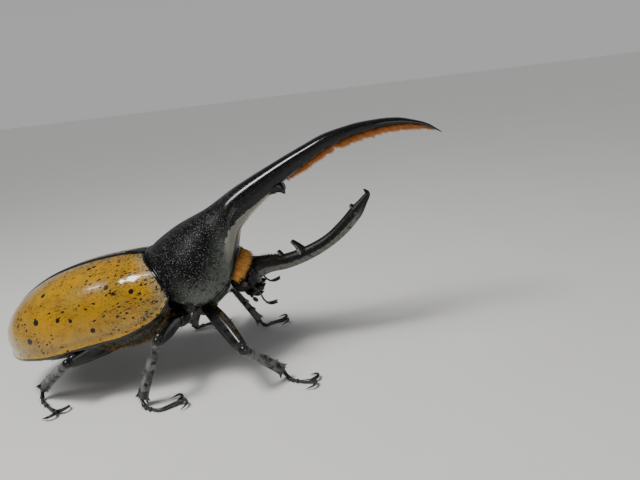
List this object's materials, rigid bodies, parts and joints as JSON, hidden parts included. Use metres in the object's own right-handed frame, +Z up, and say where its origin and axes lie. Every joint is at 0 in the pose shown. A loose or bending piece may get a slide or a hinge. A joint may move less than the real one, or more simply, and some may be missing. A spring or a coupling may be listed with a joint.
{
  "type": "rhinoceros beetle",
  "caption": "Male Hercules beetle at life size, standing: a long curved horn from the pronotum over a shorter upcurved head horn, domed ochre wing cases with dark specks, black legs.",
  "frame": {"origin": "centre of the bounding box on the floor that the feet stand on", "axes": "+X the way the beetle faces, +Y to its left, +Z up"},
  "size_m": [0.1445, 0.0616, 0.0728],
  "materials": {
    "wing_case": "glossy ochre chitin with black specks",
    "black_shell": "glossy black chitin",
    "rough_shell": "black chitin with fine punctures",
    "leg_shell": "black chitin with a grey-green bloom",
    "eye": "polished dark brown",
    "hair": "dense orange hair"
  },
  "bodies": {
    "root": {"elytron_right": "wing_case", "elytron_left": "wing_case", "scutellum": "black_shell", "abdomen": "black_shell", "thorax_under": "black_shell", "prosternum": "black_shell", "pronotum": "rough_shell", "thoracic_horn_base": "black_shell", "thoracic_horn_middle": "black_shell", "thoracic_horn_tip": "black_shell", "head": "black_shell", "head_horn_base": "black_shell", "head_horn_tip": "black_shell", "mouthparts": "black_shell", "eye_right": "eye", "eye_left": "eye", "antenna_right": "leg_shell", "antenna_left": "leg_shell", "palp_right": "leg_shell", "palp_left": "leg_shell", "femur_fore_right": "leg_shell", "femur_fore_left": "leg_shell", "femur_middle_right": "leg_shell", "femur_middle_left": "leg_shell", "femur_hind_right": "leg_shell", "femur_hind_left": "leg_shell", "tibia_fore_right": "leg_shell", "tibia_fore_left": "leg_shell", "tibia_middle_right": "leg_shell", "tibia_middle_left": "leg_shell", "tibia_hind_right": "leg_shell", "tibia_hind_left": "leg_shell", "tarsus_fore_right": "leg_shell", "tarsus_fore_left": "leg_shell", "tarsus_middle_right": "leg_shell", "tarsus_middle_left": "leg_shell", "tarsus_hind_right": "leg_shell", "tarsus_hind_left": "leg_shell"}
  },
  "joints": []
}
